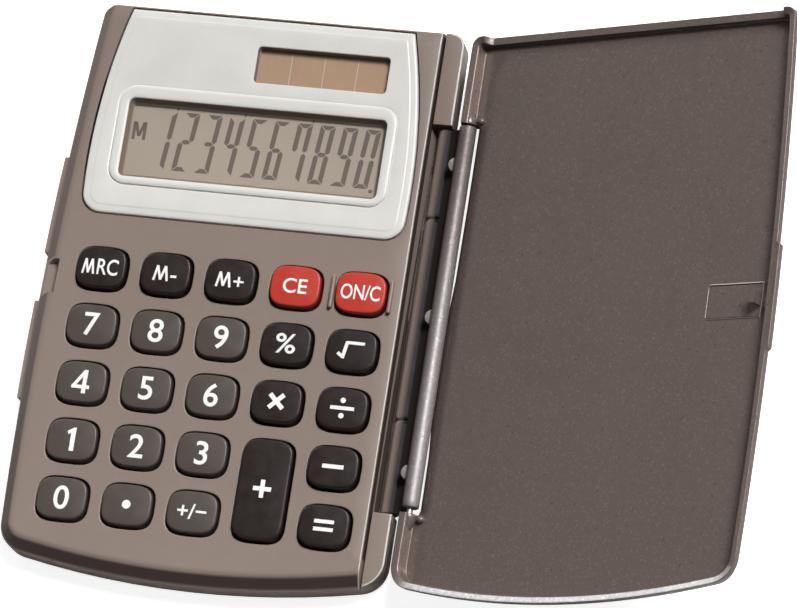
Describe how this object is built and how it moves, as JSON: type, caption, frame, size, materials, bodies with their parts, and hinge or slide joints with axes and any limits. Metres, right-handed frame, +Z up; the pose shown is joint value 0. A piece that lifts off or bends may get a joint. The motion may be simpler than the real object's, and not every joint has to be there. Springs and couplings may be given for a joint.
{
  "type": "electronic calculator",
  "caption": "Pocket calculator with a bowed bevelled body, rounded push keys, display with solar window, and a hard cover on a folding hinge link.",
  "frame": {"origin": "centre of the flat rear face that lies on the table", "axes": "+X across the keys towards the hinge and cover, +Y along the body towards the display, +Z up out of the keys"},
  "size_m": [0.1469, 0.1133, 0.0439],
  "materials": {
    "case": "fine satin, taupe",
    "key_digit": "satin, dark grey brown",
    "key_dark": "satin, near black brown",
    "key_red": "satin, red",
    "bezel": "satin, off white",
    "window": "clear plastic",
    "lcd": "reflective display",
    "solar": "copper brown cells",
    "rubber": "silicone",
    "board": "printed board",
    "resin": "cast resin",
    "steel": "plain",
    "spring_metal": "sheet",
    "hinge": "satin",
    "cover": "satin with metallic flecks"
  },
  "bodies": {
    "case": {"front_case": "case", "rear_case": "case", "display_bezel": "bezel", "display_window": "window", "solar_window": "window", "lcd_glass": "lcd", "lcd_contacts": "rubber", "solar_cell": "solar", "solar_leads": "steel", "circuit_board": "board", "chip_resin": "resin", "board_components": "resin", "key_mat": "rubber", "battery_cell": "steel", "battery_contact_plus": "spring_metal", "battery_contact_minus": "spring_metal", "case_screws": "steel"},
    "key_mrc": {"key_mrc": "key_dark"},
    "key_m_minus": {"key_m_minus": "key_dark"},
    "key_m_plus": {"key_m_plus": "key_dark"},
    "key_ce": {"key_ce": "key_red"},
    "key_on": {"key_on": "key_red"},
    "key_7": {"key_7": "key_digit"},
    "key_8": {"key_8": "key_digit"},
    "key_9": {"key_9": "key_digit"},
    "key_percent": {"key_percent": "key_dark"},
    "key_root": {"key_root": "key_dark"},
    "key_4": {"key_4": "key_digit"},
    "key_5": {"key_5": "key_digit"},
    "key_6": {"key_6": "key_digit"},
    "key_times": {"key_times": "key_dark"},
    "key_divide": {"key_divide": "key_dark"},
    "key_1": {"key_1": "key_digit"},
    "key_2": {"key_2": "key_digit"},
    "key_3": {"key_3": "key_digit"},
    "key_plus": {"key_plus": "key_dark"},
    "key_minus": {"key_minus": "key_dark"},
    "key_0": {"key_0": "key_digit"},
    "key_point": {"key_point": "key_digit"},
    "key_sign": {"key_sign": "key_digit"},
    "key_equals": {"key_equals": "key_dark"},
    "battery_door": {"battery_door": "case"},
    "link": {"hinge_link": "hinge", "body_hinge_pins": "steel", "cover_hinge_pins": "steel"},
    "cover": {"cover": "cover", "latch_clip": "cover"}
  },
  "joints": [
    {"name": "key_mrc_press", "type": "slide", "parent": "case", "child": "key_mrc", "axis": [0, 0, -1], "range_m": [0, 0.0007], "stiffness_N_per_m": 80, "springref_m": -0.0002, "deforming": ["key_mat"]},
    {"name": "key_m_minus_press", "type": "slide", "parent": "case", "child": "key_m_minus", "axis": [0, 0, -1], "range_m": [0, 0.0007], "stiffness_N_per_m": 80, "springref_m": -0.0002, "deforming": ["key_mat"]},
    {"name": "key_m_plus_press", "type": "slide", "parent": "case", "child": "key_m_plus", "axis": [0, 0, -1], "range_m": [0, 0.0007], "stiffness_N_per_m": 80, "springref_m": -0.0002, "deforming": ["key_mat"]},
    {"name": "key_ce_press", "type": "slide", "parent": "case", "child": "key_ce", "axis": [0, 0, -1], "range_m": [0, 0.0007], "stiffness_N_per_m": 80, "springref_m": -0.0002, "deforming": ["key_mat"]},
    {"name": "key_on_press", "type": "slide", "parent": "case", "child": "key_on", "axis": [0, 0, -1], "range_m": [0, 0.0007], "stiffness_N_per_m": 80, "springref_m": -0.0002, "deforming": ["key_mat"]},
    {"name": "key_7_press", "type": "slide", "parent": "case", "child": "key_7", "axis": [0, 0, -1], "range_m": [0, 0.0007], "stiffness_N_per_m": 80, "springref_m": -0.0002, "deforming": ["key_mat"]},
    {"name": "key_8_press", "type": "slide", "parent": "case", "child": "key_8", "axis": [0, 0, -1], "range_m": [0, 0.0007], "stiffness_N_per_m": 80, "springref_m": -0.0002, "deforming": ["key_mat"]},
    {"name": "key_9_press", "type": "slide", "parent": "case", "child": "key_9", "axis": [0, 0, -1], "range_m": [0, 0.0007], "stiffness_N_per_m": 80, "springref_m": -0.0002, "deforming": ["key_mat"]},
    {"name": "key_percent_press", "type": "slide", "parent": "case", "child": "key_percent", "axis": [0, 0, -1], "range_m": [0, 0.0007], "stiffness_N_per_m": 80, "springref_m": -0.0002, "deforming": ["key_mat"]},
    {"name": "key_root_press", "type": "slide", "parent": "case", "child": "key_root", "axis": [0, 0, -1], "range_m": [0, 0.0007], "stiffness_N_per_m": 80, "springref_m": -0.0002, "deforming": ["key_mat"]},
    {"name": "key_4_press", "type": "slide", "parent": "case", "child": "key_4", "axis": [0, 0, -1], "range_m": [0, 0.0007], "stiffness_N_per_m": 80, "springref_m": -0.0002, "deforming": ["key_mat"]},
    {"name": "key_5_press", "type": "slide", "parent": "case", "child": "key_5", "axis": [0, 0, -1], "range_m": [0, 0.0007], "stiffness_N_per_m": 80, "springref_m": -0.0002, "deforming": ["key_mat"]},
    {"name": "key_6_press", "type": "slide", "parent": "case", "child": "key_6", "axis": [0, 0, -1], "range_m": [0, 0.0007], "stiffness_N_per_m": 80, "springref_m": -0.0002, "deforming": ["key_mat"]},
    {"name": "key_times_press", "type": "slide", "parent": "case", "child": "key_times", "axis": [0, 0, -1], "range_m": [0, 0.0007], "stiffness_N_per_m": 80, "springref_m": -0.0002, "deforming": ["key_mat"]},
    {"name": "key_divide_press", "type": "slide", "parent": "case", "child": "key_divide", "axis": [0, 0, -1], "range_m": [0, 0.0007], "stiffness_N_per_m": 80, "springref_m": -0.0002, "deforming": ["key_mat"]},
    {"name": "key_1_press", "type": "slide", "parent": "case", "child": "key_1", "axis": [0, 0, -1], "range_m": [0, 0.0007], "stiffness_N_per_m": 80, "springref_m": -0.0002, "deforming": ["key_mat"]},
    {"name": "key_2_press", "type": "slide", "parent": "case", "child": "key_2", "axis": [0, 0, -1], "range_m": [0, 0.0007], "stiffness_N_per_m": 80, "springref_m": -0.0002, "deforming": ["key_mat"]},
    {"name": "key_3_press", "type": "slide", "parent": "case", "child": "key_3", "axis": [0, 0, -1], "range_m": [0, 0.0007], "stiffness_N_per_m": 80, "springref_m": -0.0002, "deforming": ["key_mat"]},
    {"name": "key_plus_press", "type": "slide", "parent": "case", "child": "key_plus", "axis": [0, 0, -1], "range_m": [0, 0.0007], "stiffness_N_per_m": 80, "springref_m": -0.0002, "deforming": ["key_mat"]},
    {"name": "key_minus_press", "type": "slide", "parent": "case", "child": "key_minus", "axis": [0, 0, -1], "range_m": [0, 0.0007], "stiffness_N_per_m": 80, "springref_m": -0.0002, "deforming": ["key_mat"]},
    {"name": "key_0_press", "type": "slide", "parent": "case", "child": "key_0", "axis": [0, 0, -1], "range_m": [0, 0.0007], "stiffness_N_per_m": 80, "springref_m": -0.0002, "deforming": ["key_mat"]},
    {"name": "key_point_press", "type": "slide", "parent": "case", "child": "key_point", "axis": [0, 0, -1], "range_m": [0, 0.0007], "stiffness_N_per_m": 80, "springref_m": -0.0002, "deforming": ["key_mat"]},
    {"name": "key_sign_press", "type": "slide", "parent": "case", "child": "key_sign", "axis": [0, 0, -1], "range_m": [0, 0.0007], "stiffness_N_per_m": 80, "springref_m": -0.0002, "deforming": ["key_mat"]},
    {"name": "key_equals_press", "type": "slide", "parent": "case", "child": "key_equals", "axis": [0, 0, -1], "range_m": [0, 0.0007], "stiffness_N_per_m": 80, "springref_m": -0.0002, "deforming": ["key_mat"]},
    {"name": "battery_door_turn", "type": "hinge", "parent": "case", "child": "battery_door", "pos_m": [-0.016, 0.04525, 0], "axis": [0, 0, -1], "range_deg": [0, 40]},
    {"name": "link_hinge", "type": "hinge", "parent": "case", "child": "link", "pos_m": [0.0364, -0.00025, 0.00359], "axis": [0, -1, 0], "range_deg": [-131, 49]},
    {"name": "cover_hinge", "type": "hinge", "parent": "link", "child": "cover", "pos_m": [0.04085, -0.00025, 0.00746], "axis": [0, -1, 0], "range_deg": [-76, 104]}
  ]
}
